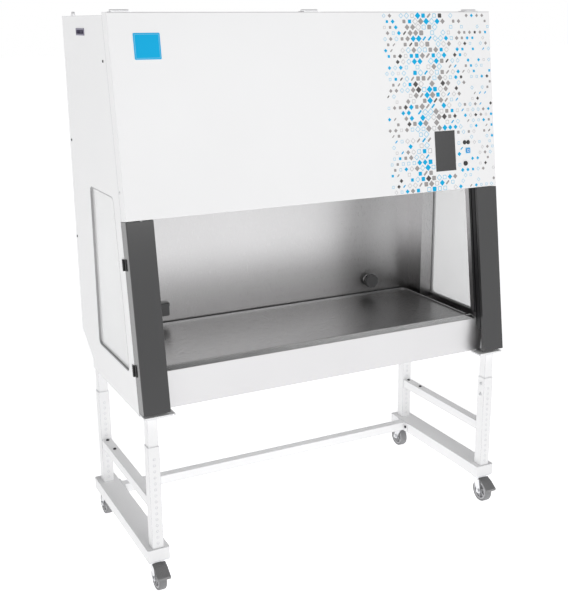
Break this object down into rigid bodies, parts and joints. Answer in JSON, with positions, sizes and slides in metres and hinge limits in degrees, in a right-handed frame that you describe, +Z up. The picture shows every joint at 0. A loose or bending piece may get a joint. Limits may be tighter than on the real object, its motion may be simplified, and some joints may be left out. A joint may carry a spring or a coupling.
{
  "type": "biosafety cabinet",
  "caption": "Class II safety cabinet with sloping hinged front, sliding sash, glazed sides and steel chamber on a height-adjustable castor stand",
  "frame": {"origin": "on the floor at the middle of the outline in plan", "axes": "+Z up, the user stands at -Y, +X to the user's right"},
  "size_m": [1.6686, 0.8196, 2.1793],
  "materials": {
    "white_powder_coat": "satin",
    "grey_powder_coat": "satin",
    "stainless": "brushed",
    "galvanised": "satin",
    "zinc_plate": "satin",
    "dark_fasteners": "satin",
    "black_guide": "matte",
    "dark_plastic": "matte",
    "blue_plastic": "gloss",
    "display_black": "gloss",
    "rubber": "matte",
    "wheel_grey": "matte",
    "clear_glass": "clear",
    "aluminium": "satin",
    "filter_medium": "matte"
  },
  "bodies": {
    "stand": {"left_side_frame": "white_powder_coat", "right_side_frame": "white_powder_coat", "rear_cross_rail": "white_powder_coat", "stand_screws": "dark_fasteners", "castor_plates": "zinc_plate"},
    "cabinet": {"upper_frame": "white_powder_coat", "left_side_panel": "white_powder_coat", "right_side_panel": "white_powder_coat", "rear_panel": "white_powder_coat", "top_panel": "white_powder_coat", "base_pan": "white_powder_coat", "side_windows": "clear_glass", "window_gaskets": "rubber", "chamber_liner": "stainless", "drain_basin": "stainless", "front_sill": "stainless", "ceiling_diffuser": "white_powder_coat", "post_hinge_fixed_leaves": "dark_fasteners", "sash_guides": "black_guide", "panel_hinge_fixed_leaves": "zinc_plate", "sash_belts": "rubber", "sash_motor": "dark_plastic", "supply_filter": "filter_medium", "exhaust_filter": "filter_medium", "blower_plenum": "galvanised", "lamp_unit": "white_powder_coat", "service_valve": "stainless", "socket_outlet": "dark_plastic", "power_inlet": "dark_plastic", "cabinet_screws": "dark_fasteners"},
    "front_panel_assembly": {"front_panel": "white_powder_coat", "control_module": "display_black", "panel_hinge_moving_leaves": "zinc_plate"},
    "up_button": {"sash_up_button": "dark_plastic"},
    "down_button": {"sash_down_button": "dark_plastic"},
    "lamp_button": {"light_button": "blue_plastic"},
    "lock": {"key_switch": "dark_plastic"},
    "left_cover": {"left_post_cover": "grey_powder_coat", "left_post_hinge_leaves": "dark_fasteners"},
    "right_cover": {"right_post_cover": "grey_powder_coat", "right_post_hinge_leaves": "dark_fasteners"},
    "sash": {"sash_glass": "clear_glass", "sash_trim": "dark_plastic"},
    "drive_shaft": {"sash_drive_shaft": "zinc_plate"},
    "idlers": {"sash_idlers": "zinc_plate"},
    "tray": {"work_tray": "stainless"},
    "grille": {"air_grille": "stainless"},
    "impeller": {"blower_impeller": "aluminium"},
    "knob": {"valve_knob": "dark_plastic"},
    "flap": {"socket_flap": "dark_plastic"},
    "castor_front_left": {"castor_fork_front_left": "zinc_plate"},
    "wheel_front_left": {"castor_wheel_front_left": "wheel_grey"},
    "castor_front_right": {"castor_fork_front_right": "zinc_plate"},
    "wheel_front_right": {"castor_wheel_front_right": "wheel_grey"},
    "castor_rear_left": {"castor_fork_rear_left": "zinc_plate"},
    "wheel_rear_left": {"castor_wheel_rear_left": "wheel_grey"},
    "castor_rear_right": {"castor_fork_rear_right": "zinc_plate"},
    "wheel_rear_right": {"castor_wheel_rear_right": "wheel_grey"},
    "pedal_front_left": {"brake_pedal_front_left": "dark_plastic"},
    "pedal_front_right": {"brake_pedal_front_right": "dark_plastic"}
  },
  "joints": [
    {"name": "castor_swivel_front_left", "type": "hinge", "parent": "stand", "child": "castor_front_left", "pos_m": [-0.7824, -0.31375, 0.1277], "axis": [0, 0, 1], "continuous": true},
    {"name": "wheel_turn_front_left", "type": "hinge", "parent": "castor_front_left", "child": "wheel_front_left", "pos_m": [-0.7824, -0.34575, 0.05], "axis": [1, 0, 0], "continuous": true},
    {"name": "castor_swivel_front_right", "type": "hinge", "parent": "stand", "child": "castor_front_right", "pos_m": [0.7824, -0.31375, 0.1277], "axis": [0, 0, 1], "continuous": true},
    {"name": "wheel_turn_front_right", "type": "hinge", "parent": "castor_front_right", "child": "wheel_front_right", "pos_m": [0.7824, -0.34575, 0.05], "axis": [1, 0, 0], "continuous": true},
    {"name": "castor_swivel_rear_left", "type": "hinge", "parent": "stand", "child": "castor_rear_left", "pos_m": [-0.7824, 0.31625, 0.1277], "axis": [0, 0, 1], "continuous": true},
    {"name": "wheel_turn_rear_left", "type": "hinge", "parent": "castor_rear_left", "child": "wheel_rear_left", "pos_m": [-0.7824, 0.34825, 0.05], "axis": [1, 0, 0], "continuous": true},
    {"name": "castor_swivel_rear_right", "type": "hinge", "parent": "stand", "child": "castor_rear_right", "pos_m": [0.7824, 0.31625, 0.1277], "axis": [0, 0, 1], "continuous": true},
    {"name": "wheel_turn_rear_right", "type": "hinge", "parent": "castor_rear_right", "child": "wheel_rear_right", "pos_m": [0.7824, 0.34825, 0.05], "axis": [1, 0, 0], "continuous": true},
    {"name": "brake_pedal_front_left", "type": "hinge", "parent": "castor_front_left", "child": "pedal_front_left", "pos_m": [-0.7824, -0.33975, 0.105], "axis": [1, 0, 0], "range_deg": [0, 4]},
    {"name": "brake_pedal_front_right", "type": "hinge", "parent": "castor_front_right", "child": "pedal_front_right", "pos_m": [0.7824, -0.33975, 0.105], "axis": [1, 0, 0], "range_deg": [0, 4]},
    {"name": "height_adjust", "type": "slide", "parent": "stand", "child": "cabinet", "axis": [0, 0, 1], "range_m": [-0.1, 0.1]},
    {"name": "front_panel_hinge", "type": "hinge", "parent": "cabinet", "child": "front_panel_assembly", "pos_m": [0, -0.12763, 2.1748], "axis": [-1, 0, 0], "range_deg": [0, 75]},
    {"name": "sash_up_press", "type": "slide", "parent": "front_panel_assembly", "child": "up_button", "axis": [0, 0.9898, -0.1426], "range_m": [0, 0.002], "stiffness_N_per_m": 400, "springref_m": -0.001},
    {"name": "sash_down_press", "type": "slide", "parent": "front_panel_assembly", "child": "down_button", "axis": [0, 0.9898, -0.1426], "range_m": [0, 0.002], "stiffness_N_per_m": 400, "springref_m": -0.001},
    {"name": "light_press", "type": "slide", "parent": "front_panel_assembly", "child": "lamp_button", "axis": [0, 0.9898, -0.1426], "range_m": [0, 0.002], "stiffness_N_per_m": 400, "springref_m": -0.001},
    {"name": "key_turn", "type": "hinge", "parent": "front_panel_assembly", "child": "lock", "pos_m": [0.668, -0.27358, 1.5546], "axis": [0, 0.9898, -0.1426], "range_deg": [0, 90]},
    {"name": "left_cover_hinge", "type": "hinge", "parent": "cabinet", "child": "left_cover", "pos_m": [-0.8298, -0.30924, 0.897], "axis": [0, -0.1426, -0.9898], "range_deg": [0, 95]},
    {"name": "right_cover_hinge", "type": "hinge", "parent": "cabinet", "child": "right_cover", "pos_m": [0.8298, -0.30924, 0.897], "axis": [0, 0.1426, 0.9898], "range_deg": [0, 95]},
    {"name": "sash_slide", "type": "slide", "parent": "cabinet", "child": "sash", "axis": [0, -0.1426, -0.9898], "range_m": [0, 0.586]},
    {"name": "drive_shaft_spin", "type": "hinge", "parent": "cabinet", "child": "drive_shaft", "pos_m": [0, -0.15511, 2.10331], "axis": [1, 0, 0], "range_deg": [0, 2236]},
    {"name": "idler_spin", "type": "hinge", "parent": "cabinet", "child": "idlers", "pos_m": [0, -0.33567, 0.85029], "axis": [1, 0, 0], "range_deg": [0, 2236]},
    {"name": "tray_tilt", "type": "hinge", "parent": "cabinet", "child": "tray", "pos_m": [0, 0.24425, 0.852], "axis": [-1, 0, 0], "range_deg": [0, 15]},
    {"name": "grille_lift", "type": "slide", "parent": "cabinet", "child": "grille", "axis": [0, 0, 1], "range_m": [0, 0.02]},
    {"name": "impeller_spin", "type": "hinge", "parent": "cabinet", "child": "impeller", "pos_m": [0, 0.06124, 1.8826], "axis": [0, 0, 1], "continuous": true},
    {"name": "valve_turn", "type": "hinge", "parent": "cabinet", "child": "knob", "pos_m": [0.523, 0.23925, 0.943], "axis": [0, -1, 0], "range_deg": [0, 90]},
    {"name": "flap_hinge", "type": "hinge", "parent": "cabinet", "child": "flap", "pos_m": [-0.523, 0.24025, 0.965], "axis": [-1, 0, 0], "range_deg": [0, 100]}
  ],
  "couplings": [
    {"joint": "drive_shaft_spin", "follows": "sash_slide", "rad_per_m": 66.445},
    {"joint": "idler_spin", "follows": "sash_slide", "rad_per_m": 66.445}
  ]
}
